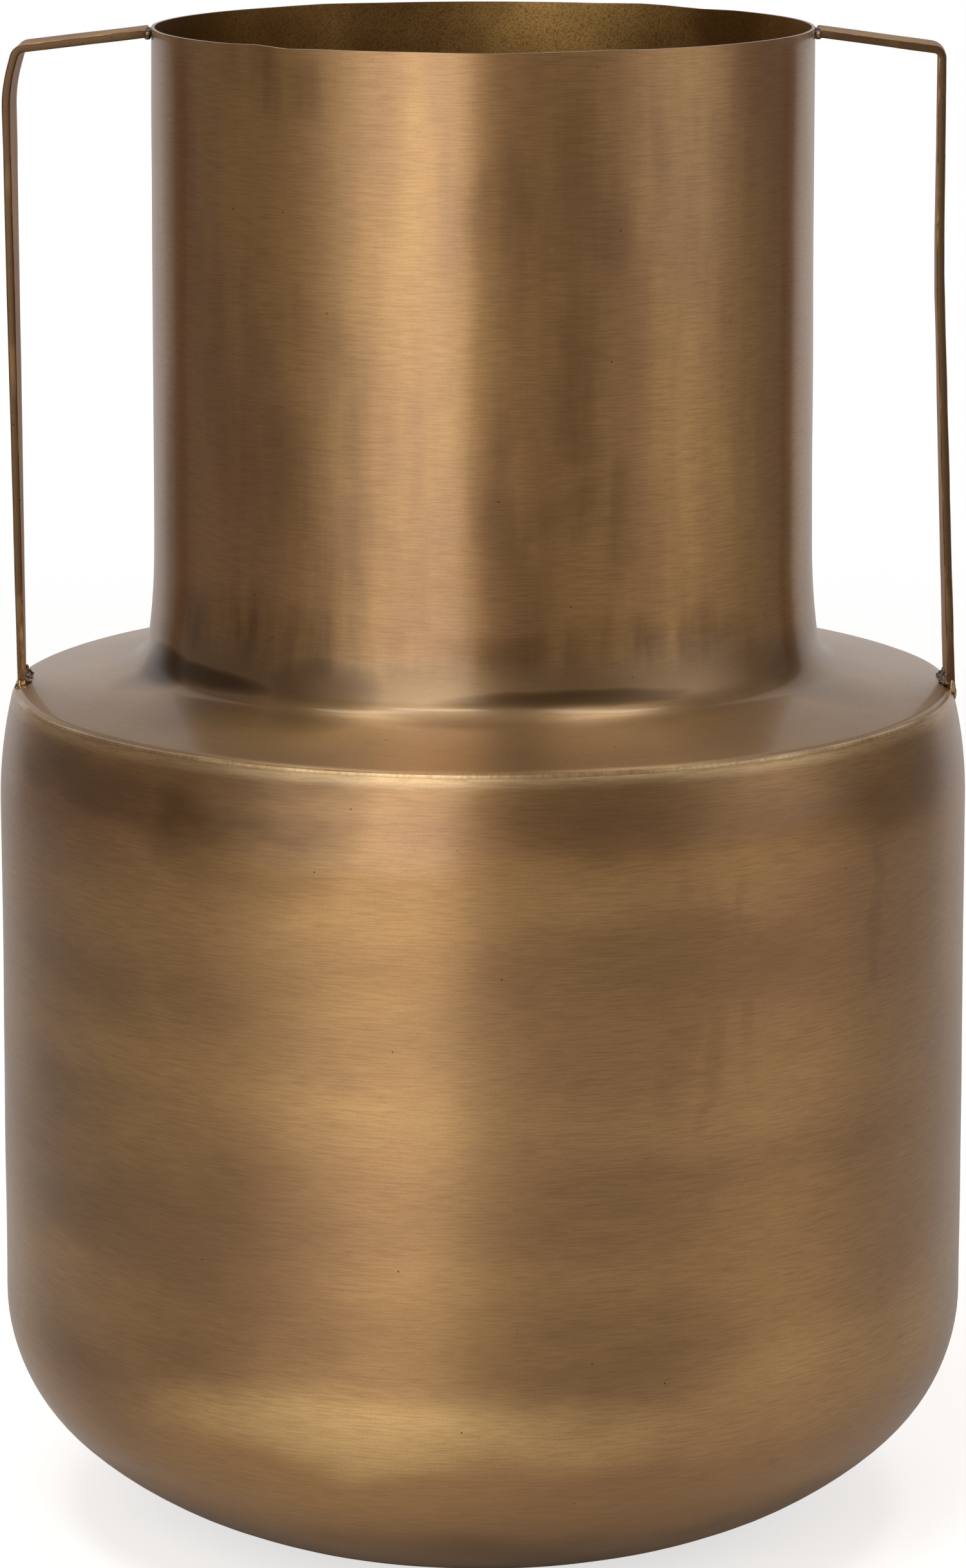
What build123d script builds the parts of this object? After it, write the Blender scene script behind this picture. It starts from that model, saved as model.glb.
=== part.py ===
"""Urn vase of sheet metal with a rolled neck and two bent strip handles.

Millimetres and degrees, +Z up. The origin is the centre of the flat base. The handles stand along X,
the left one at -X, and the neck's upright seam is at the back, at +Y.
"""

import os
from math import cos, degrees, radians, sin, tan

from build123d import *

# Sheet that the vessel is made of
sheet = 1.0

# Body: a flat base, a heel of two arcs, a nearly upright wall and a swelling top
body_diameter = 301.2
heel_lower_radius = 117.3
heel_lower_turn = 43.2
heel_upper_radius = 57.2
wall_lean = 0.2
wall_length = 156.4
swell_radius = 137.5
swell_turn = 13.3

# Shoulder: a rounded outer edge, a shallow cone and a collar that flares into it
edge_round = 4.9
shoulder_slope = 12.3
collar_round = 9.4
collar_flare_radius = 230.0
collar_flare_turn = 7.4

# Neck: a sheet rolled to a tube that narrows a little towards the rim
rim_height = 467.7
neck_foot_diameter = 203.4
neck_taper = 0.27

# Welds of the vessel: a filed ridge round the edge, a ring and an upright seam on the neck
edge_weld_width = 1.8
edge_weld_crown = 0.35
collar_weld_width = 1.6
seam_weld_width = 1.6
weld_root = 0.5
weld_flat_share = 0.4

# Handles: flat strip, bent to a tab at the rim and a leg that stands on the shoulder's edge.
# A reach is measured outwards from the edge weld, and a drop down from the corner.
strip_width = 20.0
strip_thickness = 2.5
bend_radius = 4.5
tab_drop = 0.4
rim_gap = 2.0
left_tab_slope = 6.8
left_corner_reach = -2.7
left_bow_reach = 1.0
left_bow_drop = 13.0
left_bow_radius = 50.0
left_foot_reach = -0.2
right_tab_slope = 7.7
right_corner_reach = -3.8
right_bow_reach = -3.7
right_bow_drop = 69.0
right_bow_radius = 600.0
right_foot_reach = 1.3

# Weld beads of the handles: one at each rim end and one round each foot
rim_bead_width = 17.0
rim_bead_sag = 0.8
foot_bead_height = 4.5
foot_bead_depth = 6.0
foot_bead_inner_spread = 7.0
foot_bead_outer_spread = 0.8
foot_bead_lip = 0.6
foot_bead_round = 1.1

os.makedirs("parts", exist_ok=True)


def export(builder, name):
    """Labels a finished piece and writes its file."""
    builder.part.label = name
    export_step(builder.part, f"parts/{name}.step")


def sheet_section(line):
    """Gives an outer line of the vessel the sheet's thickness, inwards."""
    with BuildSketch(Plane.XZ) as section:
        with BuildLine():
            add(line)
            offset(amount=sheet, side=Side.LEFT)
        make_face()
    return section.sketch


# The vessel's outer line, in the XZ plane from the middle of the base up to the rim.
# Each stretch starts where the one before it ends, along the same tangent.
lower_share = sin(radians(heel_lower_turn))
base_radius = body_diameter / 2 - heel_lower_radius * lower_share - heel_upper_radius * (1 - lower_share)
heel_upper_turn = 90 + wall_lean - heel_lower_turn
edge_turn = 90 - shoulder_slope - wall_lean - swell_turn
edge_weld_turn = degrees(edge_weld_width / edge_round)
plain_edge_turn = (edge_turn - edge_weld_turn) / 2

with BuildLine() as body_line:
    base = Line((0, 0), (base_radius, 0))
    lower_heel = JernArc(base @ 1, base % 1, heel_lower_radius, heel_lower_turn)
    upper_heel = JernArc(lower_heel @ 1, lower_heel % 1, heel_upper_radius, heel_upper_turn)
    wall = PolarLine(upper_heel @ 1, wall_length, direction=upper_heel % 1)
    swell = JernArc(wall @ 1, wall % 1, swell_radius, swell_turn)
    body_edge = JernArc(swell @ 1, swell % 1, edge_round, plain_edge_turn)

with BuildLine() as edge_weld_line:
    edge_ridge = JernArc(body_edge @ 1, body_edge % 1, edge_round, edge_weld_turn)

# The cone ends where the collar's two arcs, laid out from the neck's foot, leave it
collar_lean = radians(neck_taper + collar_flare_turn)
flare_reach = collar_flare_radius * (cos(radians(neck_taper)) - cos(collar_lean))
round_reach = collar_round * (cos(collar_lean) - sin(radians(shoulder_slope)))
cone_end_radius = neck_foot_diameter / 2 + flare_reach + round_reach
collar_round_turn = 90 - shoulder_slope - degrees(collar_lean)

with BuildLine() as shoulder_line:
    shoulder_edge = JernArc(edge_ridge @ 1, edge_ridge % 1, edge_round, plain_edge_turn)
    cone_length = ((shoulder_edge @ 1).X - cone_end_radius) / cos(radians(shoulder_slope))
    cone = PolarLine(shoulder_edge @ 1, cone_length, direction=shoulder_edge % 1)
    collar_foot = JernArc(cone @ 1, cone % 1, collar_round, -collar_round_turn)
    collar_flare = JernArc(collar_foot @ 1, collar_foot % 1, collar_flare_radius, -collar_flare_turn)

with BuildLine() as collar_weld_line:
    collar_seam = PolarLine(collar_flare @ 1, collar_weld_width, direction=collar_flare % 1)

neck_length = (rim_height - (collar_seam @ 1).Y) / cos(radians(neck_taper))

with BuildLine() as neck_line:
    neck_wall = PolarLine(collar_seam @ 1, neck_length, direction=collar_seam % 1)

# The vessel as if it were solid, which trims what is fitted against its outside
with BuildPart() as vessel_blank:
    with BuildSketch(Plane.XZ):
        with BuildLine():
            for line in (body_line, edge_weld_line, shoulder_line, collar_weld_line, neck_line):
                add(line.line)
            Polyline(neck_wall @ 1, (0, rim_height), (0, 0))
        make_face()
    revolve(axis=Axis.Z)

# Body: spun from one disc of sheet, open at the top
with BuildPart() as body_shell:
    revolve(sheet_section(body_line.line), axis=Axis.Z)
export(body_shell, "body_shell")

# Shoulder: a spun ring with its collar turned up
with BuildPart() as shoulder_ring:
    revolve(sheet_section(shoulder_line.line), axis=Axis.Z)
export(shoulder_ring, "shoulder_ring")

# Edge weld: joins the shoulder to the body, and its crown is filed to a narrow flat ridge
flat_start = (1 - weld_flat_share) / 2
flat_end = 1 - flat_start
edge_centre = edge_ridge.arc_center
root_share = 1 - sheet / edge_round
crown_share = 1 + edge_weld_crown / edge_round
ridge_ends = [edge_ridge @ 0, edge_ridge @ 1]
ridge_crowns = [edge_ridge @ flat_end, edge_ridge @ flat_start]
with BuildPart() as edge_weld:
    with BuildSketch(Plane.XZ):
        with BuildLine():
            Polyline(
                ridge_ends[0],
                edge_centre + (ridge_ends[0] - edge_centre) * root_share,
                edge_centre + (ridge_ends[1] - edge_centre) * root_share,
                ridge_ends[1],
                edge_centre + (ridge_crowns[0] - edge_centre) * crown_share,
                edge_centre + (ridge_crowns[1] - edge_centre) * crown_share,
                close=True,
            )
        make_face()
    revolve(axis=Axis.Z)
export(edge_weld, "edge_weld")

# Collar weld: joins the neck to the collar, ground flush outside, with its root left proud inside
seam_inward = (collar_seam % 0.5).rotate(Axis.Z, 90)
with BuildPart() as collar_weld:
    with BuildSketch(Plane.XZ):
        with BuildLine():
            Polyline(
                collar_seam @ 0,
                collar_seam @ 1,
                collar_seam @ 1 + seam_inward * sheet,
                collar_seam @ flat_end + seam_inward * (sheet + weld_root),
                collar_seam @ flat_start + seam_inward * (sheet + weld_root),
                collar_seam @ 0 + seam_inward * sheet,
                close=True,
            )
        make_face()
    revolve(axis=Axis.Z)
export(collar_weld, "collar_weld")

# Neck: sheet rolled to a tube, with its two edges a weld's width apart at the back
seam_slot_depth = body_diameter
with BuildPart() as neck_tube:
    revolve(sheet_section(neck_line.line), axis=Axis.Z)
    with Locations((0, seam_slot_depth / 2, rim_height / 2)):
        Box(seam_weld_width, seam_slot_depth, 2 * rim_height, mode=Mode.SUBTRACT)
export(neck_tube, "neck_tube")

# Neck seam: the upright weld that closes the rolled neck
with BuildPart() as neck_seam_weld:
    revolve(sheet_section(neck_line.line), axis=Axis.Z)
    with Locations((0, seam_slot_depth / 2, rim_height / 2)):
        Box(seam_weld_width, seam_slot_depth, 2 * rim_height, mode=Mode.INTERSECT)
export(neck_seam_weld, "neck_seam_weld")

# Handles and their welds, left at -X and right at +X
ridge_radius = (edge_ridge @ 0.5).X
ridge_height = (edge_ridge @ 0.5).Y
root_radius = (neck_wall @ 1).X + rim_gap
root_height = rim_height - tab_drop
foot_bottom = ridge_height - foot_bead_depth

handles = (
    ("left", -1, Side.LEFT, left_tab_slope, left_corner_reach, left_bow_reach, left_bow_drop,
     left_bow_radius, left_foot_reach),
    ("right", 1, Side.RIGHT, right_tab_slope, right_corner_reach, right_bow_reach, right_bow_drop,
     right_bow_radius, right_foot_reach),
)

for hand, sign, inner_side, tab_slope, corner_reach, bow_reach, bow_drop, bow_radius, foot_reach in handles:
    corner_radius = ridge_radius + corner_reach
    corner_height = root_height - (corner_radius - root_radius) * tan(radians(tab_slope))
    foot_radius = ridge_radius + foot_reach
    root = (sign * root_radius, root_height)
    corner = (sign * corner_radius, corner_height)
    bow = (sign * (ridge_radius + bow_reach), corner_height - bow_drop)
    foot = (sign * foot_radius, foot_bottom)

    # Strip: its outer face follows the bends, and its foot is filed to fit the shoulder's edge
    with BuildPart() as handle:
        with BuildSketch(Plane.XZ):
            with BuildLine():
                FilletPolyline(root, corner, bow, foot, radius=[bend_radius, bow_radius])
                offset(amount=strip_thickness, side=inner_side)
            make_face()
        extrude(amount=strip_width / 2, both=True)
        add(vessel_blank.part, mode=Mode.SUBTRACT)
        add(edge_weld.part, mode=Mode.SUBTRACT)
    export(handle, f"{hand}_handle")

    # Rim bead: fills the gap between the tab's end and the neck
    tab_end = strip_thickness * Vector(sin(radians(tab_slope)), cos(radians(tab_slope)))
    end_radius = root_radius - tab_end.X
    end_height = root_height - tab_end.Y
    bead_inner_radius = root_radius - 2 * rim_gap
    bead_middle = ((end_radius + bead_inner_radius) / 2, end_height - rim_bead_sag)
    with BuildPart() as rim_weld:
        with BuildSketch(Plane.XZ):
            with BuildLine():
                Polyline(
                    (sign * end_radius, end_height),
                    root,
                    (sign * bead_inner_radius, root_height),
                    (sign * bead_inner_radius, end_height),
                )
                ThreePointArc(
                    (sign * bead_inner_radius, end_height),
                    (sign * bead_middle[0], bead_middle[1]),
                    (sign * end_radius, end_height),
                )
            make_face()
        extrude(amount=rim_bead_width / 2, both=True)
        add(vessel_blank.part, mode=Mode.SUBTRACT)
    export(rim_weld, f"{hand}_rim_weld")

    # Foot bead: runs round the strip's foot and wraps over the shoulder's edge
    bead_top_middle = foot_radius - strip_thickness / 2
    bead_foot_middle = bead_top_middle + (foot_bead_outer_spread - foot_bead_inner_spread) / 2
    bead_foot_thickness = strip_thickness + foot_bead_inner_spread + foot_bead_outer_spread
    bead_foot_width = strip_width + 2 * foot_bead_outer_spread
    bead_top_thickness = strip_thickness + 2 * foot_bead_lip
    bead_top_width = strip_width + 2 * foot_bead_lip
    with BuildPart() as foot_weld:
        with BuildSketch(Plane.XY.offset(foot_bottom)):
            with Locations((sign * bead_foot_middle, 0)):
                RectangleRounded(bead_foot_thickness, bead_foot_width, foot_bead_round)
        with BuildSketch(Plane.XY.offset(ridge_height + foot_bead_height)):
            with Locations((sign * bead_top_middle, 0)):
                RectangleRounded(bead_top_thickness, bead_top_width, foot_bead_round)
        loft(ruled=True)
        add(vessel_blank.part, mode=Mode.SUBTRACT)
        add(edge_weld.part, mode=Mode.SUBTRACT)
        add(handle.part, mode=Mode.SUBTRACT)
    export(foot_weld, f"{hand}_foot_weld")
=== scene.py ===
"""Urn vase of spun and rolled sheet brass with two strip handles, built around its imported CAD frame.

Metres, +Z up, with the centre of the base at the origin and the front at -Y. The pieces come in the order
in which the vase is put together.
"""

import math
import random

import bpy
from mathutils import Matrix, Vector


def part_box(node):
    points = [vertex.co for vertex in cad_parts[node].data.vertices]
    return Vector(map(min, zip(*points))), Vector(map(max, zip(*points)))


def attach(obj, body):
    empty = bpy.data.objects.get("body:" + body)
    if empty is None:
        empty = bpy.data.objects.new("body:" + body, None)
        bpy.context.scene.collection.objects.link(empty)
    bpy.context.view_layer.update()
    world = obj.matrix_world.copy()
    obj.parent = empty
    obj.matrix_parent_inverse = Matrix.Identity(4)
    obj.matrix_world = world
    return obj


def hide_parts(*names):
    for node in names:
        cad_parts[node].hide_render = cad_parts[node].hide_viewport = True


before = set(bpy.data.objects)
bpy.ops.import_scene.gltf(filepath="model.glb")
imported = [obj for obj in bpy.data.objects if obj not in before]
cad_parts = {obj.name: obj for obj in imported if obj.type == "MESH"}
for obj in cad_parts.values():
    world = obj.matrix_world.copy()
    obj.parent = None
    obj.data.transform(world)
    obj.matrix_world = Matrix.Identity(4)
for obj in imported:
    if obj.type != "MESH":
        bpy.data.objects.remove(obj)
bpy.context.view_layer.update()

# Body: a barrel spun from one disc of 1 mm brass sheet, with a flat base, a round heel and a top that
# swells in towards the shoulder. Brushed round its axis, darkened, rubbed back by hand and lacquered.
# Its colour also carries painted shade and painted highlights.
MM = 0.001
sheet = 1.0 * MM
segments = 400
crease_angle = math.radians(40)
body_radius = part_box("body_shell")[1].x
centre_radius = 0.5 * MM
heel_lower_radius = 117.3 * MM
heel_lower_turn = 43.2
heel_upper_radius = 57.2 * MM
wall_lean = 0.2
wall_length = 156.4 * MM
swell_radius = 137.5 * MM
swell_turn = 13.3
edge_round = 4.9 * MM
edge_steps = 5
shoulder_slope = 12.3
edge_weld_width = 1.8 * MM
# The top of the body below the weld is painted bright: partly filed metal, partly a painted highlight.
filed_and_highlight_reach = 4 * MM
hollow_depth = 0.5 * MM
hollow_spread = 55 * MM
brass_gold = (0.585, 0.35, 0.13, 1)
patina_brown = (0.40, 0.212, 0.112, 1)
# Bright brass for worn edges and drops of braze, and also for painted highlights.
bright_brass_and_highlight = (0.80, 0.52, 0.22, 1)
# A paler, duller brass painted onto the shoulder's cone: a painted reflection of the pale backdrop.
painted_reflection_brass = (0.66, 0.475, 0.28, 1)
# Filed brass, used also as a painted highlight on the weld and the top of the body.
filed_and_highlight_brass = (0.88, 0.66, 0.37, 1)
# Dark brown for brush marks and patina, and also for painted shade.
mark_and_shade_brown = (0.12, 0.064, 0.022, 1)
# Near black for pits and specks, and also for the darkest painted shade.
pit_and_shade_black = (0.018, 0.012, 0.006, 1)
spray_gold = (0.58, 0.345, 0.11, 1)
spray_shade = (0.30, 0.165, 0.05, 1)


class OuterLine:
    """The vessel's outer line as rings of (radius, height), drawn on from where the last stretch ended."""

    def __init__(self, radius, height, heading):
        self.rings = [(radius, height)]
        self.heading = heading

    def run(self, length, steps):
        """A straight stretch."""
        radius, height = self.rings[-1]
        turn = math.radians(self.heading)
        for step in range(1, steps + 1):
            part = length * step / steps
            self.rings.append((radius + part * math.cos(turn), height + part * math.sin(turn)))

    def arc(self, bend, turn, steps):
        """A round stretch that turns to the left, or to the right where turn is below zero."""
        radius, height = self.rings[-1]
        side = math.copysign(bend, turn)
        start = math.radians(self.heading)
        for step in range(1, steps + 1):
            now = start + math.radians(turn) * step / steps
            self.rings.append((radius + side * (math.sin(now) - math.sin(start)),
                               height + side * (math.cos(start) - math.cos(now))))
        self.heading += turn


def draw_wall(name, rings, sides=segments):
    """Draws a circle up into a wall, ring by ring, as sheet is worked over a former."""
    bpy.ops.object.select_all(action="DESELECT")
    bpy.ops.mesh.primitive_circle_add(vertices=sides, radius=rings[0][0],
                                      location=(0, 0, rings[0][1]), rotation=(0, 0, math.pi / sides))
    wall = bpy.context.object
    wall.name = name
    bpy.ops.object.transform_apply(location=True, rotation=True, scale=True)
    bpy.ops.object.mode_set(mode="EDIT")
    for (radius, height), (next_radius, next_height) in zip(rings, rings[1:]):
        growth = next_radius / radius
        bpy.ops.mesh.extrude_region_move(TRANSFORM_OT_translate={"value": (0, 0, next_height - height)})
        bpy.ops.transform.resize(value=(growth, growth, 1), center_override=(0, 0, next_height))
    bpy.ops.mesh.select_all(action="SELECT")
    bpy.ops.mesh.normals_make_consistent(inside=False)
    bpy.ops.object.mode_set(mode="OBJECT")
    return wall


def pick_vertices(piece, wanted):
    """Selects the vertices that a test on their place accepts, and stays in edit mode."""
    bpy.ops.object.mode_set(mode="EDIT")
    bpy.ops.mesh.select_mode(type="VERT")
    bpy.ops.mesh.select_all(action="DESELECT")
    bpy.ops.object.mode_set(mode="OBJECT")
    for vertex in piece.data.vertices:
        vertex.select = wanted(vertex.co)
    bpy.ops.object.mode_set(mode="EDIT")


def modify(piece, kind, **settings):
    """Adds a modifier, sets it and applies it."""
    bpy.ops.object.select_all(action="DESELECT")
    piece.select_set(True)
    bpy.context.view_layer.objects.active = piece
    bpy.ops.object.modifier_add(type=kind)
    modifier = piece.modifiers[-1]
    for name, value in settings.items():
        setattr(modifier, name, value)
    bpy.ops.object.modifier_apply(modifier=modifier.name)


def dent(piece, depth=hollow_depth, spread=hollow_spread, draw=1.0):
    """Makes a surface uneven, as hand work does, in hollows that draw stretches upwards."""
    hollows = bpy.data.textures.new(piece.name + "_hollows", "CLOUDS")
    hollows.noise_scale = spread
    hollows.noise_depth = 1
    bpy.ops.object.empty_add()
    guide = bpy.context.object
    guide.scale = (1, 1, draw)
    bpy.context.view_layer.update()
    modify(piece, "DISPLACE", texture=hollows, texture_coords="OBJECT", texture_coords_object=guide,
           strength=depth, mid_level=0.5)
    bpy.data.objects.remove(guide)


def thicken(piece, thickness, *finishes):
    """Gives a wall its thickness inwards, and its outer and inner finish."""
    for finish in finishes:
        piece.data.materials.append(finish)
    modify(piece, "SOLIDIFY", thickness=thickness, offset=-1, use_even_offset=True,
           material_offset=len(finishes) - 1, material_offset_rim=0)
    bpy.ops.object.shade_smooth_by_angle(angle=crease_angle)


def fit(piece, node):
    """Sets a piece in the place of its CAD node."""
    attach(piece, "root")
    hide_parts(node)


def set_inputs(tree, node, inputs):
    """Gives a node's sockets a value or a link."""
    for socket, value in inputs.items():
        if isinstance(value, bpy.types.NodeSocket):
            tree.links.new(value, node.inputs[socket])
        else:
            node.inputs[socket].default_value = value


def add_node(tree, kind, inputs=None, **settings):
    """Adds a node with its settings and inputs."""
    made = tree.nodes.new(kind)
    for name, value in settings.items():
        setattr(made, name, value)
    set_inputs(tree, made, inputs or {})
    return made


def calculate(tree, operation, *values):
    """One step of arithmetic on numbers or sockets."""
    return add_node(tree, "ShaderNodeMath", dict(enumerate(values)), operation=operation).outputs[0]


def place_math(tree, operation, *values):
    """One step of arithmetic on places, axis by axis."""
    return add_node(tree, "ShaderNodeVectorMath", dict(enumerate(values)), operation=operation).outputs[0]


def axes_of(tree, place):
    """The three coordinates of a place."""
    return add_node(tree, "ShaderNodeSeparateXYZ", {"Vector": place}).outputs


def place_at(tree, **axes):
    """The place with these coordinates."""
    return add_node(tree, "ShaderNodeCombineXYZ", axes).outputs[0]


def length_of(tree, place):
    """How far a place is from the origin."""
    return add_node(tree, "ShaderNodeVectorMath", {0: place}, operation="LENGTH").outputs["Value"]


def noise(tree, place, scale, detail=2.0, distortion=0.0):
    """Soft noise from 0 to 1, with one scale or a scale for each axis."""
    if isinstance(scale, tuple):
        place = place_math(tree, "MULTIPLY", place, scale)
        scale = 1.0
    settings = {"Vector": place, "Scale": scale, "Detail": detail, "Distortion": distortion}
    return add_node(tree, "ShaderNodeTexNoise", settings).outputs["Fac"]


def between(tree, value, low, high, out_low=0.0, out_high=1.0):
    """Fades smoothly from one level to another as the value goes from low to high."""
    levels = {"Value": value, "From Min": low, "From Max": high, "To Min": out_low, "To Max": out_high}
    return add_node(tree, "ShaderNodeMapRange", levels, interpolation_type="SMOOTHSTEP").outputs["Result"]


def blend(tree, share, colour, other):
    """Mixes a share of another colour into a colour."""
    sockets = {0: share, 6: colour, 7: other}
    return add_node(tree, "ShaderNodeMix", sockets, data_type="RGBA").outputs[2]


def relief(tree, height, strength, depth):
    """Bumps from the height of a pattern."""
    bump = add_node(tree, "ShaderNodeBump", {"Height": height, "Strength": strength, "Distance": depth})
    return bump.outputs["Normal"]


def new_finish(name):
    """A material with its shader, and the place on the object that its patterns follow."""
    material = bpy.data.materials.new(name)
    material.use_nodes = True
    tree = material.node_tree
    place = add_node(tree, "ShaderNodeTexCoord").outputs["Object"]
    return material, tree, tree.nodes["Principled BSDF"], place


def placed_marks(tree, bearing, level, marks):
    """The strongest of some soft marks, each placed by its angle from the front and its height.

    A mark is (degrees, height in mm, half width in degrees, half height in mm, strength).
    """
    strongest = 0.0
    for angle, height, half_width, half_height, strength in marks:
        aside = calculate(tree, "SUBTRACT", bearing, math.radians(angle))
        above = calculate(tree, "SUBTRACT", level, height * MM)
        across = calculate(tree, "POWER", calculate(tree, "DIVIDE", aside, math.radians(half_width)), 2.0)
        along = calculate(tree, "POWER", calculate(tree, "DIVIDE", above, half_height * MM), 2.0)
        mark = between(tree, calculate(tree, "ADD", across, along), 0.0, 4.0, strength, 0.0)
        strongest = calculate(tree, "MAXIMUM", strongest, mark)
    return strongest


def pits(tree, place, scale, size, whole_share):
    """Small round pits in the cells of a pattern, apart from a share of cells that stay whole."""
    cells = add_node(tree, "ShaderNodeTexVoronoi", {"Vector": place, "Scale": scale}).outputs
    draw = axes_of(tree, cells["Color"])["X"]
    return calculate(tree, "MULTIPLY", between(tree, cells["Distance"], size / 3, size, 0.85, 0.0),
                     between(tree, draw, whole_share, whole_share + 0.04))


def brushed_brass(name, seed, cloud, wipe, stray, patina_and_shade_marks, highlights_and_wear, wiped_from=-1.0,
                  lines=(120, 120, 3000), highlight_and_wear_colour=bright_brass_and_highlight, filed_and_highlight_from=1.0):
    """Antique brass: brushed round the axis, clouded with patina, marked by hand and lacquered, with painted
    shade and painted highlights among the marks.

    Cloud and wipe are the scales of the patina, stray is how far the marks wander, and lines are the scales
    of the brush's hairlines. Below wiped_from a painted reflection makes the metal paler and duller, and
    above the height given last it is painted bright, part as metal bared by the file and part as a painted
    highlight.
    """
    material, tree, shader, place = new_finish(name)
    axes = axes_of(tree, place)
    back = calculate(tree, "MULTIPLY", axes["Y"], -1.0)
    reach = length_of(tree, place_at(tree, X=axes["X"], Y=axes["Y"]))
    moved = place_math(tree, "ADD", place, seed)

    brush = place_at(tree, X=axes["X"], Y=axes["Y"], Z=calculate(tree, "ADD", axes["Z"], reach))
    hairlines = noise(tree, brush, lines)
    scratches = noise(tree, brush, (80, 80, 1700))
    grain = noise(tree, place, 2300.0)
    way_round = calculate(tree, "MULTIPLY", calculate(tree, "ARCTAN2", axes["X"], back), body_radius)
    unrolled = place_at(tree, X=way_round, Y=axes["Z"])
    slant = {"Vector": unrolled, "Rotation": (0, 0, math.radians(33)), "Scale": (9 * MM, 0.35 * MM, 1)}
    slanted = add_node(tree, "ShaderNodeMapping", slant, vector_type="TEXTURE").outputs[0]
    cuts = noise(tree, slanted, 1.0)

    clouds = noise(tree, moved, cloud, 3.0, 0.4)
    streaks = noise(tree, moved, wipe, 4.0)
    steep = between(tree, axes["Z"], wiped_from, wiped_from + 16 * MM)
    flat_share = calculate(tree, "SUBTRACT", 1.0, steep)
    wipes = calculate(tree, "MULTIPLY_ADD", calculate(tree, "SUBTRACT", streaks, 0.5), steep, 0.5)
    mottle = calculate(tree, "MULTIPLY_ADD", wipes, 0.45, calculate(tree, "MULTIPLY", clouds, 0.55))
    patina = between(tree, calculate(tree, "MULTIPLY_ADD", scratches, 0.06, mottle), 0.22, 0.88)

    drift = add_node(tree, "ShaderNodeTexNoise", {"Vector": moved, "Scale": 30.0, "Detail": 1.5})
    swing = place_math(tree, "SUBTRACT", drift.outputs["Color"], (0.5, 0.5, 0.5))
    loose = between(tree, axes["Z"], wiped_from + 6 * MM, wiped_from + 50 * MM, 0.06, 1.0)
    wander = place_math(tree, "MULTIPLY", swing, loose)
    strays = axes_of(tree, place_math(tree, "MULTIPLY_ADD", wander, stray, place))
    bearing = calculate(tree, "ARCTAN2", strays["X"], calculate(tree, "MULTIPLY", strays["Y"], -1.0))
    # The listed dark marks: patina, and painted shade in creases, under the edge and at the bottom.
    patina_and_shade = calculate(tree, "MULTIPLY", placed_marks(tree, bearing, strays["Z"], patina_and_shade_marks),
                      between(tree, wipes, 0.32, 0.66, 0.25, 1.0))
    # The listed bright marks: painted highlights, and bared metal on the weld's crest.
    highlight_and_wear = calculate(tree, "MULTIPLY", placed_marks(tree, bearing, strays["Z"], highlights_and_wear),
                    between(tree, wipes, 0.66, 0.32, 0.4, 1.0))

    colour = blend(tree, patina, brass_gold, patina_brown)
    # Painted reflection: the shoulder's cone is made paler and duller.
    colour = blend(tree, calculate(tree, "MULTIPLY", flat_share, 0.55), colour, painted_reflection_brass)
    # Painted highlights, and on the weld bared metal.
    colour = blend(tree, highlight_and_wear, colour, highlight_and_wear_colour)
    # Patina and painted shade.
    colour = blend(tree, patina_and_shade, colour, mark_and_shade_brown)
    # The strongest painted shade turns nearly black.
    colour = blend(tree, between(tree, patina_and_shade, 0.9, 1.4, 0.0, 0.8), colour, pit_and_shade_black)
    # Painted bright towards the top: filed metal and a painted highlight.
    filed_and_highlight = between(tree, axes["Z"], filed_and_highlight_from, filed_and_highlight_from + 3.5 * MM, 0.0, 0.48)
    colour = blend(tree, filed_and_highlight, colour, filed_and_highlight_brass)
    brushing = calculate(tree, "MULTIPLY_ADD", steep, 0.7, 0.3)
    fine = calculate(tree, "MULTIPLY", between(tree, hairlines, 0.36, 0.60, 0.20, 0.0), brushing)
    colour = blend(tree, fine, colour, mark_and_shade_brown)
    colour = blend(tree, between(tree, scratches, 0.60, 0.76, 0.0, 0.14), colour, mark_and_shade_brown)
    colour = blend(tree, between(tree, grain, 0.36, 0.58, 0.10, 0.0), colour, mark_and_shade_brown)
    crossed = calculate(tree, "MULTIPLY", between(tree, cuts, 0.58, 0.74, 0.0, 0.14),
                        between(tree, clouds, 0.46, 0.60))
    colour = blend(tree, crossed, colour, mark_and_shade_brown)
    colour = blend(tree, pits(tree, moved, 90.0, 0.035, 0.3), colour, pit_and_shade_black)
    flat_pits = calculate(tree, "MULTIPLY", pits(tree, moved, 200.0, 0.06, 0.75), flat_share)
    colour = blend(tree, flat_pits, colour, pit_and_shade_black)

    tarnish_and_shade = calculate(tree, "MAXIMUM", patina, patina_and_shade)
    set_inputs(tree, shader, {
        "Base Color": colour,
        "Roughness": between(tree, tarnish_and_shade, 0.0, 1.0, 0.38, 0.45),
        "Normal": relief(tree, calculate(tree, "ADD", scratches, hairlines), 0.4, 0.006 * MM),
        "Tangent": place_at(tree, X=back, Y=axes["X"]),
        "Metallic": 0.95,
        "Anisotropic": 0.78,
        "Anisotropic Rotation": 0.25,
        "Coat Weight": 0.75,
        "Coat Roughness": 0.13,
        "Coat IOR": 1.4,
    })
    return material


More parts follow.
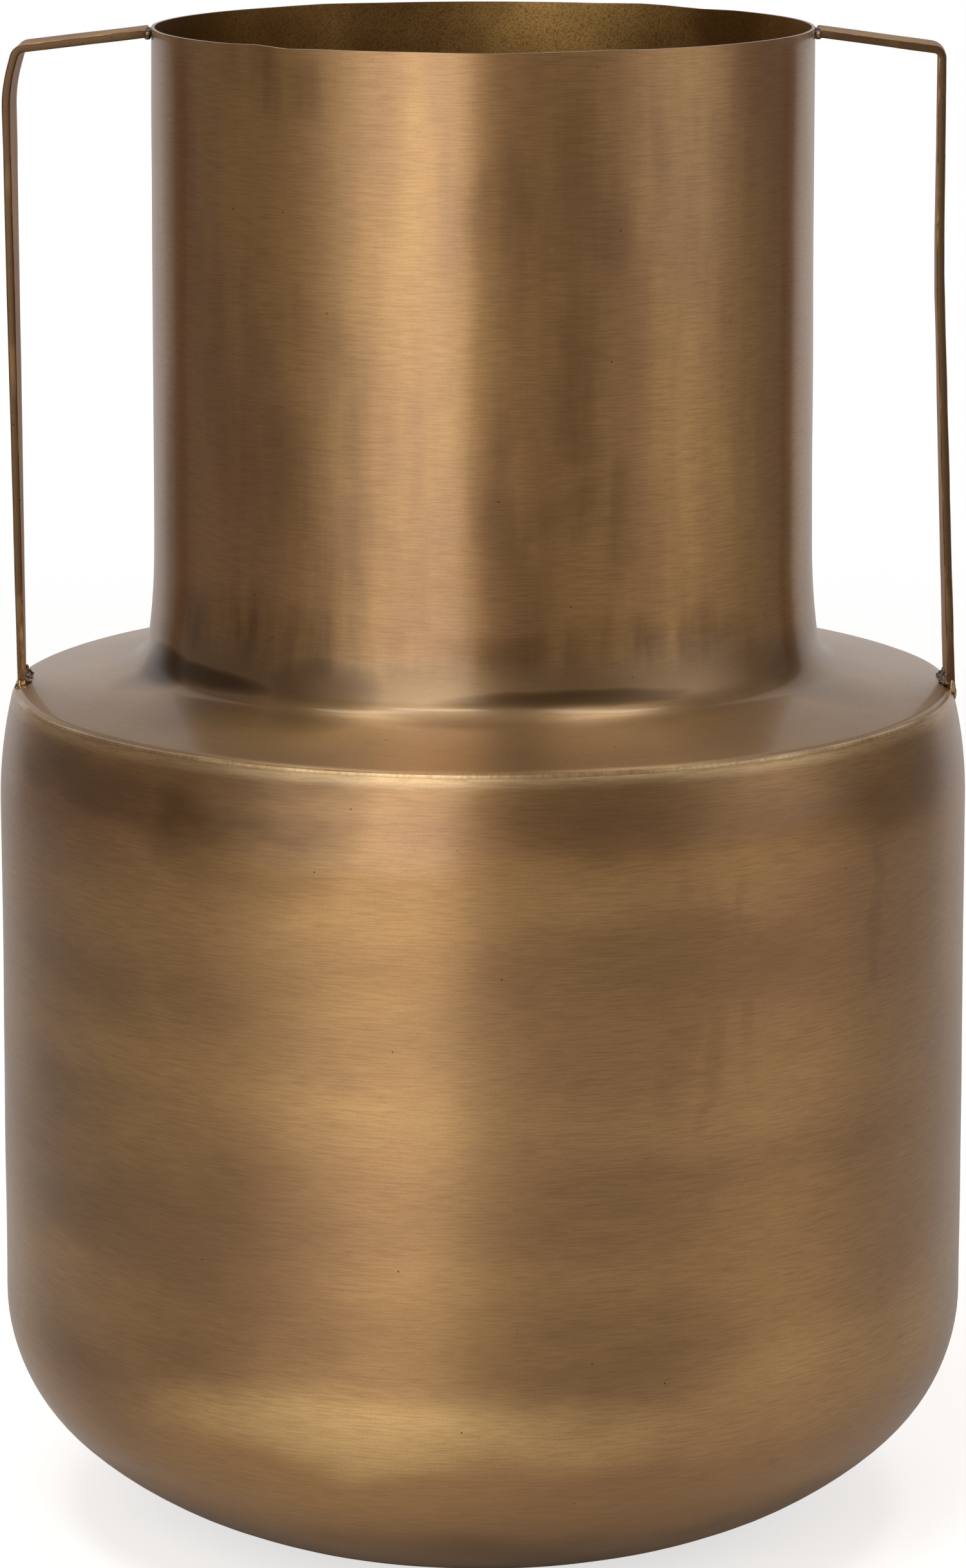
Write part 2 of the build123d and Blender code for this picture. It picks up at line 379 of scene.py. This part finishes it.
def sprayed_gold(name):
    """The inside: a dull sprayed gold with a fine grain, and painted shade that darkens it to the left."""
    material, tree, shader, place = new_finish(name)
    grain = noise(tree, place, 1600.0)
    clouds = noise(tree, place, 22.0, 3.0)
    aside = axes_of(tree, place)["X"]
    colour = blend(tree, between(tree, clouds, 0.35, 0.7), spray_gold, spray_shade)
    # Painted shade: darker towards the left of the inside.
    colour = blend(tree, between(tree, aside, -20 * MM, -95 * MM, 0.0, 0.55), colour, mark_and_shade_brown)
    colour = blend(tree, between(tree, grain, 0.3, 0.6, 0.6, 0.0), colour, mark_and_shade_brown)
    set_inputs(tree, shader, {
        "Base Color": colour,
        "Roughness": 0.4,
        "Normal": relief(tree, grain, 0.5, 0.05 * MM),
        "Metallic": 0.95,
    })
    return material


lower_share = math.sin(math.radians(heel_lower_turn))
base_radius = body_radius - heel_lower_radius * lower_share - heel_upper_radius * (1 - lower_share)
edge_turn = 90 - shoulder_slope - wall_lean - swell_turn
edge_weld_turn = math.degrees(edge_weld_width / edge_round)
plain_edge_turn = (edge_turn - edge_weld_turn) / 2

body_line = OuterLine(centre_radius, 0, 0)
body_line.run(base_radius - centre_radius, 8)
body_line.arc(heel_lower_radius, heel_lower_turn, 18)
body_line.arc(heel_upper_radius, 90 + wall_lean - heel_lower_turn, 14)
body_line.run(wall_length, 30)
body_line.arc(swell_radius, swell_turn, 8)
body_line.arc(edge_round, plain_edge_turn, edge_steps)

body = draw_wall("spun_body", body_line.rings)
pick_vertices(body, lambda spot: math.hypot(spot.x, spot.y) < 2 * centre_radius)
bpy.ops.mesh.merge(type="CENTER")
bpy.ops.object.mode_set(mode="OBJECT")
inside_finish = sprayed_gold("sprayed_inside")
all_round = 400
body_patina_and_shade = (
    # Painted shade: a dark band under the shoulder's edge, and darker beside the highlight at the top.
    (14, 254, 17, 9, 0.42),
    (38, 254, 16, 8, 0.3),
    (-45, 252, 20, 6, 0.6),
    (58, 249, 14, 10, 0.5),
    (-27, 250, 8, 18, 1.2),
    (18, 207, 14, 10, 0.3),
    (9, 93, 18, 14, 0.3),
    (-36, 116, 14, 30, 0.35),
    (-55, 140, 9, 75, 0.4),
    (24, 132, 24, 12, 0.25),
    (-20, 196, 14, 14, 0.22),
    (-15, 97, 16, 10, 0.25),
    (26, 190, 1.0, 24, 0.22),
    (31, 203, 0.9, 20, 0.2),
    (22, 196, 1.3, 26, 0.18),
    (51, 215, 1.0, 22, 0.22),
    # Painted shade: darker all round towards the bottom.
    (0, 0, all_round, 17, 1.0),
)
body_painted_highlights = (
    # Painted highlights: the lit floor reflected in the heel, and brighter bands up the body.
    (-4, 66, 24, 9, 1.0),
    (43, 74, 17, 11, 0.45),
    (-8, 158, 9, 28, 0.25),
    (22, 230, 13, 9, 0.25),
    (28, 161, 24, 9, 0.22),
)
dent(body)
body_brass = brushed_brass("brushed_body_brass", (3.1, 0.4, 1.7), (5, 5, 12), (9, 9, 30),
                           (0.03, 0.03, 0.02), body_patina_and_shade, body_painted_highlights,
                           filed_and_highlight_from=body_line.rings[-1][1] - filed_and_highlight_reach)
thicken(body, sheet, body_brass, inside_finish)
fit(body, "body_shell")

# Edge weld: the bead that joins the shoulder to the body, filed by hand to a narrow ridge with short file
# marks across it. It is the same brass as the sheet, darkened and lacquered with the rest. Its crest is
# painted bright, part filed metal and part painted highlight, with a painted line of shade just above it.
edge_weld_crown = 0.45 * MM
crown = (0, 0.35, 1, 0.35, 0)
crest = len(crown) // 2
file_mark_depth = 0.04 * MM
file_mark_spacing = 1.1 * MM
weld_line = OuterLine(*body_line.rings[-1], body_line.heading)
weld_line.arc(edge_round, edge_weld_turn, len(crown) - 1)
weld_tilt = math.radians(body_line.heading + edge_weld_turn / 2)
weld_rings = [(radius + edge_weld_crown * rise * math.sin(weld_tilt),
               height - edge_weld_crown * rise * math.cos(weld_tilt))
              for (radius, height), rise in zip(weld_line.rings, crown)]
edge_weld = draw_wall("filed_edge_weld", weld_rings, 4 * segments)
dent(edge_weld)
dent(edge_weld, file_mark_depth, file_mark_spacing)
ridge_level = weld_rings[crest][1] / MM
# Painted shade: a dark line just above the ridge's crest.
weld_painted_shade_line = ((0, ridge_level + 0.8, all_round, 0.35, 0.6),)
# The ridge's crest painted bright: bared filed metal and a painted highlight.
weld_filed_crest_and_highlight = ((0, ridge_level - 0.1, all_round, 0.5, 0.95),)
weld_brass = brushed_brass("filed_weld_brass", (0.2, 2.2, 0.5), (20, 20, 20), (60, 60, 60), (0, 0, 0),
                           weld_painted_shade_line, weld_filed_crest_and_highlight, lines=(900, 900, 300), highlight_and_wear_colour=filed_and_highlight_brass)
thicken(edge_weld, sheet, weld_brass, inside_finish)
fit(edge_weld, "edge_weld")

# Shoulder: a ring of the same sheet, spun to a shallow cone with its outer edge turned down and its
# collar turned up to take the neck. Welded to the body round its edge.
rim_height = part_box("neck_tube")[1].z
neck_taper = 0.27
neck_foot_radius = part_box("collar_weld")[1].x
neck_wiped_from = 280 * MM
collar_round = 9.4 * MM
collar_flare_radius = 230 * MM
collar_flare_turn = 7.4
collar_lean = math.radians(neck_taper + collar_flare_turn)
flare_reach = collar_flare_radius * (math.cos(math.radians(neck_taper)) - math.cos(collar_lean))
round_reach = collar_round * (math.cos(collar_lean) - math.sin(math.radians(shoulder_slope)))
cone_end_radius = neck_foot_radius + flare_reach + round_reach
collar_round_turn = 90 - shoulder_slope - math.degrees(collar_lean)

shoulder_line = OuterLine(*weld_line.rings[-1], weld_line.heading)
shoulder_line.arc(edge_round, plain_edge_turn, edge_steps)
cone_start = shoulder_line.rings[-1]
cone_length = (cone_start[0] - cone_end_radius) / math.cos(math.radians(shoulder_slope))
shoulder_line.run(cone_length, 10)
shoulder_line.arc(collar_round, -collar_round_turn, 10)
shoulder_line.arc(collar_flare_radius, -collar_flare_turn, 6)

shoulder = draw_wall("spun_shoulder", shoulder_line.rings)
dent(shoulder)
neck_patina_and_shade = (
    (5, 423, 5, 22, 0.4),
    (16, 425, 6, 20, 0.25),
    (17, 373, 4, 16, 0.4),
    (-1, 355, 3.5, 28, 0.4),
    (4, 328, 6, 14, 0.42),
    (19, 328, 5, 14, 0.38),
    (7, 304, 5, 14, 0.3),
    (11, 370, 12, 80, 0.1),
    (-29, 345, 8, 28, 0.35),
    (-34, 293, 15, 13, 0.45),
    (-46, 350, 6, 30, 0.25),
    (-38, 460, 10, 10, 0.4),
    (34, 425, 5, 20, 0.15),
    # Round the neck's foot and in the collar's crease: partly patina, partly painted shade.
    (14, 278, 16, 2, 1.4),
    (20, 286, 20, 10, 0.75),
    (-68, 277, 8, 4, 1.9),
    (-54, 277.5, 13, 2.5, 1.6),
    (0, 281, all_round, 6, 0.65),
    (-28, 281, 9, 7, 1.2),
    (-29, 292, 8, 13, 0.8),
    (-46, 288, 13, 14, 0.95),
    (-26, 303, 5, 22, 0.45),
    (66, 279, 9, 7, 0.9),
    (-8, 312, 12, 26, 0.15),
    # Painted shade: the middle of the shoulder's cone in front.
    (0, 265, 55, 5, 0.35),
)
neck_painted_highlights = (
    # Painted highlights: glints on the collar's fillet, and a paler stripe on the neck's right.
    (-29, 271.5, 10, 3, 0.95),
    (20, 271.5, 14, 2.5, 0.6),
    (38, 375, 13, 70, 0.28),
)
neck_brass = brushed_brass("brushed_neck_brass", (5.2, 1.1, 2.4), (14, 14, 9), (75, 75, 12),
                           (0.04, 0.04, 0.07), neck_patina_and_shade, neck_painted_highlights, neck_wiped_from)
thicken(shoulder, sheet, neck_brass, inside_finish)
fit(shoulder, "shoulder_ring")

# Collar weld: the ring of brass that joins the neck to the collar. Ground flush and brushed over outside,
# so that it hardly shows, and left as a low root inside.
collar_weld_width = 1.6 * MM
weld_root = 0.5 * MM
collar_line = OuterLine(*shoulder_line.rings[-1], shoulder_line.heading)
collar_line.run(collar_weld_width, 2)
collar_weld = draw_wall("ground_collar_weld", collar_line.rings)
dent(collar_weld)
thicken(collar_weld, sheet + weld_root, neck_brass, inside_finish)
fit(collar_weld, "collar_weld")

# Neck: a strip of the same sheet rolled to a tube that narrows a little upwards, with its edges a weld's
# width apart at the back. The rim was cut by hand, so it runs in short straight lengths.
roll_waves = (0.15 * MM, 30 * MM, 3)
roll_lines = (0.03 * MM, 9 * MM, 12)
rim_band = 2 * MM
pick_reach = 0.4 * MM
neck_line = OuterLine(*collar_line.rings[-1], collar_line.heading)
neck_line.run((rim_height - neck_line.rings[-1][1]) / math.cos(math.radians(neck_taper)), 32)
neck = draw_wall("rolled_neck", neck_line.rings)
rim_radius = neck_line.rings[-1][0]
half_step = math.pi / segments
pick_vertices(neck, lambda spot: spot.y > 0 and abs(spot.x) < rim_radius * half_step * 1.2)
bpy.ops.mesh.delete(type="ONLY_FACE")
bpy.ops.object.mode_set(mode="OBJECT")

# The corners of the hand-cut rim: degrees from the front, then the rise and the reach in mm.
rim_cuts = (
    (-42, 0.35, 12),
    (-35, -0.30, 10),
    (1, -0.30, 22),
    (21, 0.25, 14),
    (150, 0.35, 16),
    (136, -0.30, 14),
    (-150, 0.25, 20),
)
for angle, rise, reach in rim_cuts:
    turn = round(math.radians(angle) / (2 * half_step) - 0.5) * 2 * half_step + half_step
    cut = (rim_radius * math.sin(turn), -rim_radius * math.cos(turn))
    pick_vertices(neck, lambda spot: spot.z > rim_height - rim_band
                  and math.hypot(spot.x - cut[0], spot.y - cut[1]) < pick_reach)
    bpy.ops.transform.translate(value=(0, 0, rise * MM), use_proportional_edit=True,
                                proportional_edit_falloff="LINEAR", proportional_size=reach * MM)
bpy.ops.object.mode_set(mode="OBJECT")
dent(neck)
dent(neck, *roll_waves)
dent(neck, *roll_lines)
thicken(neck, sheet, neck_brass, inside_finish)
fit(neck, "neck_tube")

# Neck seam: the upright brass weld that closes the rolled neck at the back. Ground nearly flush outside and
# smoothed inside, then brushed, darkened and sprayed with the sheet beside it.
seam_width = 2 * neck_foot_radius * half_step
seam_proud = 0.12 * MM
grinding_depth = 0.1 * MM
grinding_spread = 2.5 * MM
foot_radius, foot_height = neck_line.rings[0]
bpy.ops.object.select_all(action="DESELECT")
bpy.ops.mesh.primitive_plane_add(size=1, location=(0, foot_radius + seam_proud - sheet / 2, foot_height))
seam = bpy.context.object
seam.name = "ground_neck_seam"
seam.scale = (seam_width, sheet + seam_proud, 1)
bpy.ops.object.transform_apply(location=True, rotation=True, scale=True)
bpy.ops.object.mode_set(mode="EDIT")
for (radius, height), (next_radius, next_height) in zip(neck_line.rings, neck_line.rings[1:]):
    rise = (0, next_radius - radius, next_height - height)
    bpy.ops.mesh.extrude_region_move(TRANSFORM_OT_translate={"value": rise})
bpy.ops.mesh.select_all(action="SELECT")
bpy.ops.mesh.subdivide(number_cuts=2)
bpy.ops.mesh.normals_make_consistent(inside=False)
bpy.ops.object.mode_set(mode="OBJECT")
dent(seam, grinding_depth, grinding_spread)
seam.data.materials.append(neck_brass)
seam.data.materials.append(inside_finish)
for face in seam.data.polygons:
    face.material_index = int(face.normal.y < -0.5)
bpy.ops.object.shade_smooth_by_angle(angle=crease_angle)
fit(seam, "neck_seam_weld")

# Handles: flat strip, 20 mm wide and 2.5 mm thick, bent by hand to a tab at the rim and a leg down to the
# shoulder's edge. The legs bow and twist a little. Dark antique brass, worn bright along its edges.
strip_width = 20 * MM
strip_thickness = 2.5 * MM
strip_edge_round = 0.5 * MM
strip_hollow_depth = 0.22 * MM
strip_hollow_spread = 16 * MM
bend_radius = 4.5 * MM
tab_steps = 6
bend_steps = 10
tab_drop = 0.4 * MM
rim_gap = 1.4 * MM
foot_lift = 0.5 * MM
left_foot_reach = -0.2 * MM
right_foot_reach = 1.3 * MM
ridge_radius, ridge_height = weld_line.rings[crest]
worn_gold = (0.56, 0.33, 0.125, 1)
strip_brown = (0.10, 0.055, 0.03, 1)


def strip_brass(name):
    """Antique brass strip: drawn along its length, with dark edges and corners worn to bright metal."""
    material, tree, shader, place = new_finish(name)
    blotches = noise(tree, place, (60, 90, 25), 3.0)
    streaks = noise(tree, place, (40, 1800, 40))
    chips = noise(tree, place, (150, 420, 90), 3.0)
    colour = blend(tree, between(tree, blotches, 0.30, 0.70), worn_gold, patina_brown)
    colour = blend(tree, between(tree, streaks, 0.35, 0.62, 0.35, 0.0), colour, mark_and_shade_brown)
    across = calculate(tree, "ABSOLUTE", axes_of(tree, place)["Y"])
    out = calculate(tree, "MULTIPLY_ADD", chips, 0.5 * MM, across)
    edge = strip_width / 2
    worn = between(tree, out, edge - 0.4 * MM, edge - 0.1 * MM)
    colour = blend(tree, worn, colour, bright_brass_and_highlight)
    dark = between(tree, out, edge - 0.05 * MM, edge + 0.12 * MM, 0.0, 0.95)
    colour = blend(tree, dark, colour, strip_brown)
    colour = blend(tree, between(tree, blotches, 0.40, 0.30, 0.0, 0.2), colour, worn_gold)
    specks = between(tree, noise(tree, place, 1100.0), 0.66, 0.72, 0.0, 0.8)
    colour = blend(tree, specks, colour, pit_and_shade_black)
    set_inputs(tree, shader, {
        "Base Color": colour,
        "Roughness": 0.45,
        "Normal": relief(tree, streaks, 0.4, 0.02 * MM),
        "Metallic": 0.9,
    })
    return material


def bend_strip(name, side, tab_slope, corner_reach, bow_reach, bow_drop, bow_radius, foot_reach, twists):
    """Bends a handle out of flat strip: along the tab, round the bend and down the twisted leg."""
    root = (rim_radius + rim_gap, rim_height - tab_drop)
    corner_radius = ridge_radius + corner_reach
    corner = (corner_radius, root[1] - (corner_radius - root[0]) * math.tan(math.radians(tab_slope)))
    bow = (ridge_radius + bow_reach, corner[1] - bow_drop)
    foot = (ridge_radius + foot_reach, ridge_height + foot_lift)
    headings = [math.degrees(math.atan2(end[1] - start[1], end[0] - start[0]))
                for start, end in ((root, corner), (corner, bow), (bow, foot))]
    bend_turn = headings[1] - headings[0]
    bow_turn = headings[2] - headings[1]
    bend_share = bend_radius * math.tan(math.radians(abs(bend_turn)) / 2)
    bow_share = bow_radius * math.tan(math.radians(abs(bow_turn)) / 2)
    line = OuterLine(*root, headings[0])
    line.run(math.dist(root, corner) - bend_share, tab_steps)
    line.arc(bend_radius, bend_turn, bend_steps)
    line.run(math.dist(corner, bow) - bend_share - bow_share, 6)
    line.arc(bow_radius, bow_turn, 8)
    line.run(math.dist(bow, foot) - bow_share, 16)

    start, stop = line.rings[:2]
    middle = (start[0] + stop[0]) / 2
    bpy.ops.object.select_all(action="DESELECT")
    bpy.ops.mesh.primitive_grid_add(x_subdivisions=1, y_subdivisions=8, size=1)
    strip = bpy.context.object
    strip.name = name
    strip.scale = (stop[0] - start[0], strip_width, 1)
    strip.location = (side * middle, 0, start[1])
    bpy.ops.object.transform_apply(location=True, rotation=True, scale=True)
    pick_vertices(strip, lambda spot: abs(spot.x) > middle)
    bpy.ops.transform.translate(value=(0, 0, stop[1] - start[1]))
    leg_start = tab_steps + bend_steps
    leg_length = line.rings[leg_start][1] - foot[1]
    for number, (here, there) in enumerate(zip(line.rings[1:], line.rings[2:]), 1):
        travel = (side * (there[0] - here[0]), 0, there[1] - here[1])
        bpy.ops.mesh.extrude_region_move(TRANSFORM_OT_translate={"value": travel})
        turn = 0
        if number >= leg_start:
            turn = (twists[1] - twists[0]) * (here[1] - there[1]) / leg_length
        elif number >= tab_steps:
            turn = twists[0] / bend_steps
        bpy.ops.transform.rotate(value=-side * math.radians(turn), orient_axis="Z",
                                 center_override=(side * there[0], 0, there[1]))
    bpy.ops.mesh.select_all(action="SELECT")
    bpy.ops.mesh.normals_make_consistent(inside=False)
    bpy.ops.object.mode_set(mode="OBJECT")
    if strip.data.polygons[0].normal.z < 0:
        bpy.ops.object.mode_set(mode="EDIT")
        bpy.ops.mesh.flip_normals()
        bpy.ops.object.mode_set(mode="OBJECT")
    modify(strip, "SOLIDIFY", thickness=strip_thickness, offset=-1, use_even_offset=True)
    modify(strip, "BEVEL", width=strip_edge_round, segments=3, limit_method="ANGLE",
           angle_limit=math.radians(60))
    dent(strip, strip_hollow_depth, strip_hollow_spread)
    bpy.ops.object.shade_smooth_by_angle(angle=crease_angle)
    strip.data.materials.append(handle_brass)
    return strip


handle_brass = strip_brass("antique_strip_brass")
left_strip = bend_strip("left_strip_handle", -1, tab_slope=6.8, corner_reach=-2.7 * MM, bow_reach=1.0 * MM,
                        bow_drop=13 * MM, bow_radius=50 * MM, foot_reach=left_foot_reach,
                        twists=(2.3, -3.4))
right_strip = bend_strip("right_strip_handle", 1, tab_slope=7.7, corner_reach=-3.8 * MM, bow_reach=-3.7 * MM,
                         bow_drop=69 * MM, bow_radius=600 * MM, foot_reach=right_foot_reach,
                         twists=(-3.4, 0))
fit(left_strip, "left_handle")
fit(right_strip, "right_handle")

# Handle welds: short runs of braze, at the rim under the tabs' ends and at the shoulder's edge round the
# feet. Laid in lumps and left as they set: grey where the metal crusted, bright where a brass drop ran.
bead_brown = (0.07, 0.045, 0.03, 1)
bead_grey = (0.46, 0.42, 0.37, 1)
bead_voxel = 0.22 * MM
crust_depth = 0.3 * MM
crust_spread = 1.0 * MM
lump_sizes = random.Random(7)


def braze_metal(name):
    """Crusted braze: dark between the lumps, silver grey on them, and bright brass where it ran."""
    material, tree, shader, place = new_finish(name)
    crust = noise(tree, place, 330.0, 3.0)
    drops = noise(tree, place, 260.0, 2.0, 1.0)
    grain = noise(tree, place, 2600.0)
    across = calculate(tree, "ABSOLUTE", axes_of(tree, place)["Y"])
    edge_drops = between(tree, across, 9.5 * MM, 10.4 * MM, 0.0, 0.35)
    colour = blend(tree, between(tree, crust, 0.44, 0.62), bead_brown, bead_grey)
    colour = blend(tree, between(tree, grain, 0.34, 0.55, 0.55, 0.0), colour, pit_and_shade_black)
    bright = calculate(tree, "MAXIMUM", between(tree, drops, 0.58, 0.66), edge_drops)
    colour = blend(tree, bright, colour, bright_brass_and_highlight)
    set_inputs(tree, shader, {
        "Base Color": colour,
        "Roughness": between(tree, bright, 0.0, 1.0, 0.45, 0.25),
        "Normal": relief(tree, grain, 0.6, 0.08 * MM),
        "Metallic": 1.0,
    })
    return material


def lay_bead(name, side, rows):
    """Lays rows of molten lumps across the strip and lets them run together.

    A row is (reach from the axis, height, spacing in mm, count, lump size in mm).
    """
    lumps = []
    for reach, height, spacing, count, size in rows:
        for number in range(count):
            aside = (number - (count - 1) / 2) * (spacing * MM)
            shift = lump_sizes.uniform(-0.3, 0.3)
            swell = lump_sizes.uniform(0.8, 1.2)
            bpy.ops.mesh.primitive_ico_sphere_add(subdivisions=3, radius=1)
            lump = bpy.context.object
            lump.location = (side * reach + shift * (size[0] * MM), aside, height + shift * (size[2] * MM))
            lump.scale = [(half * MM) * swell for half in size]
            lumps.append(lump)
    bpy.ops.object.select_all(action="DESELECT")
    for lump in lumps:
        lump.select_set(True)
    bpy.context.view_layer.objects.active = lumps[0]
    bpy.ops.object.join()
    bead = bpy.context.object
    bead.name = name
    bpy.ops.object.transform_apply(location=True, rotation=True, scale=True)
    modify(bead, "REMESH", mode="VOXEL", voxel_size=bead_voxel)
    modify(bead, "SMOOTH", factor=0.5, iterations=3)
    dent(bead, crust_depth, crust_spread)
    bpy.ops.object.shade_smooth()
    bead.data.materials.append(braze)
    return bead


def lay_rim_bead(name, side):
    """A bead in the gap between the tab's end and the rim, with a few lumps below it."""
    gap = rim_radius + rim_gap / 2
    return lay_bead(name, side, (
        (gap, rim_height - 1.8 * MM, 2.3, 8, (1.1, 1.5, 0.9)),
        (gap + 0.2 * MM, rim_height - 3.0 * MM, 3.0, 5, (0.9, 1.4, 0.7)),
    ))


def lay_foot_bead(name, side, foot_reach):
    """A bead round the foot: lumps on the shoulder inside, a thin web outside and a drop at each edge."""
    outer = ridge_radius + foot_reach
    inner = outer - strip_thickness
    lie = cone_start[1] + (cone_start[0] - inner + 2 * MM) * math.tan(math.radians(shoulder_slope))
    return lay_bead(name, side, (
        (inner - 0.4 * MM, lie + 0.4 * MM, 2.1, 10, (0.9, 1.3, 1.0)),
        (inner - 1.5 * MM, lie, 3.1, 6, (0.8, 1.1, 0.6)),
        (inner, lie + 1.8 * MM, 4.2, 4, (0.5, 1.1, 1.2)),
        (outer - 0.1 * MM, ridge_height - 1.4 * MM, 2.3, 9, (0.6, 1.6, 2.2)),
        (outer - 1.2 * MM, ridge_height + 0.6 * MM, 20.2, 2, (0.8, 0.8, 1.9)),
    ))


braze = braze_metal("crusted_braze")
fit(lay_rim_bead("left_rim_bead", -1), "left_rim_weld")
fit(lay_rim_bead("right_rim_bead", 1), "right_rim_weld")
fit(lay_foot_bead("left_foot_bead", -1, left_foot_reach), "left_foot_weld")
fit(lay_foot_bead("right_foot_bead", 1, right_foot_reach), "right_foot_weld")

# Floor: a pale table top that fades out into a white ground. It glows a little towards the camera only, so
# that it is nearly white there and still takes the vase's shadow.
floor_radius = 2.6
fade_start = 0.6
fade_end = 2.0
floor_glow = 0.68
bpy.ops.object.select_all(action="DESELECT")
bpy.ops.mesh.primitive_circle_add(vertices=96, radius=floor_radius, fill_type="TRIFAN")
floor = bpy.context.object
floor.name = "pale_floor"
floor_finish, tree, shader, place = new_finish("pale_floor")
set_inputs(tree, shader, {"Base Color": (0.74, 0.73, 0.71, 1), "Roughness": 0.9})
seen = add_node(tree, "ShaderNodeLightPath").outputs["Is Camera Ray"]
glow = {"Color": (1, 1, 1, 1), "Strength": calculate(tree, "MULTIPLY", seen, floor_glow)}
white = add_node(tree, "ShaderNodeEmission", glow).outputs[0]
top = add_node(tree, "ShaderNodeAddShader", {0: shader.outputs[0], 1: white}).outputs[0]
clear = add_node(tree, "ShaderNodeBsdfTransparent").outputs[0]
fade = between(tree, length_of(tree, place), fade_start, fade_end)
surface = add_node(tree, "ShaderNodeMixShader", {0: fade, 1: top, 2: clear}).outputs[0]
set_inputs(tree, tree.nodes["Material Output"], {"Surface": surface})
floor.data.materials.append(floor_finish)

# Light: a large softbox in front to the left, a wide and weak one to the right and three strips high above,
# in a dim warm studio that is paler behind the vase. The camera sees the ground as white.
aim_height = 0.26
studio_dim = (0.205, 0.172, 0.146, 1)
studio_pale = (0.52, 0.485, 0.47, 1)
paper_white = (1, 1, 1, 1)


def softbox(name, azimuth, elevation, distance, width, height, brightness, fades):
    """A soft panel of light that faces the vase, with its brightness per area and the fades at its sides."""
    turn = math.radians(azimuth)
    rise = math.radians(elevation)
    spot = (distance * math.sin(turn) * math.cos(rise), -distance * math.cos(turn) * math.cos(rise),
            aim_height + distance * math.sin(rise))
    bpy.ops.object.light_add(type="AREA", location=spot, rotation=(math.pi / 2 - rise, 0, turn))
    lamp = bpy.context.object
    lamp.name = name
    lamp.data.shape = "RECTANGLE"
    lamp.data.size = width
    lamp.data.size_y = height
    lamp.data.energy = brightness * math.pi * width * height
    lamp.visible_camera = False
    lamp.data.use_nodes = True
    tree = lamp.data.node_tree
    along = axes_of(tree, add_node(tree, "ShaderNodeNewGeometry").outputs["Parametric"])["X"]
    left = between(tree, along, -0.01, fades[0])
    right = between(tree, along, 1.01, 1 - fades[1])
    set_inputs(tree, tree.nodes["Emission"], {"Strength": calculate(tree, "MULTIPLY", left, right)})


softbox("left_softbox", -34, 14, 1.25, 1.65, 1.05, 2.12, (0.8, 0.15))
softbox("right_softbox", 70, 16, 2.0, 2.7, 1.4, 0.74, (0.5, 0.5))
softbox("high_front_strip", -22, 59, 1.9, 0.9, 0.26, 9.0, (0.2, 0.2))
softbox("high_left_strip", -74, 68, 1.9, 1.3, 0.26, 5.0, (0.2, 0.4))
softbox("high_right_strip", 74, 68, 1.9, 1.5, 0.26, 5.0, (0.4, 0.2))

world = bpy.data.worlds.new("studio")
world.use_nodes = True
bpy.context.scene.world = world
tree = world.node_tree
axes = axes_of(tree, add_node(tree, "ShaderNodeTexCoord").outputs["Generated"])
level = length_of(tree, place_at(tree, X=axes["X"], Y=axes["Y"]))
backdrop = calculate(tree, "MULTIPLY_ADD", axes["X"], 0.05, axes["Y"])
behind = between(tree, calculate(tree, "DIVIDE", backdrop, level), 0.69, 0.85)
seen = add_node(tree, "ShaderNodeLightPath").outputs["Is Camera Ray"]
studio = blend(tree, seen, blend(tree, behind, studio_dim, studio_pale), paper_white)
set_inputs(tree, tree.nodes["Background"], {"Color": studio})

# Camera: a long lens at the photograph's height and distance, looking a little down.
camera_distance = 1.845
camera_height = 0.6102
camera_pitch = 11.58
bpy.ops.object.camera_add(location=(0, -camera_distance, camera_height),
                          rotation=(math.radians(90 - camera_pitch), 0, 0))
camera = bpy.context.object
camera.data.sensor_width = 36
camera.data.lens = 138.51
bpy.context.scene.camera = camera
bpy.context.scene.view_settings.view_transform = "Standard"
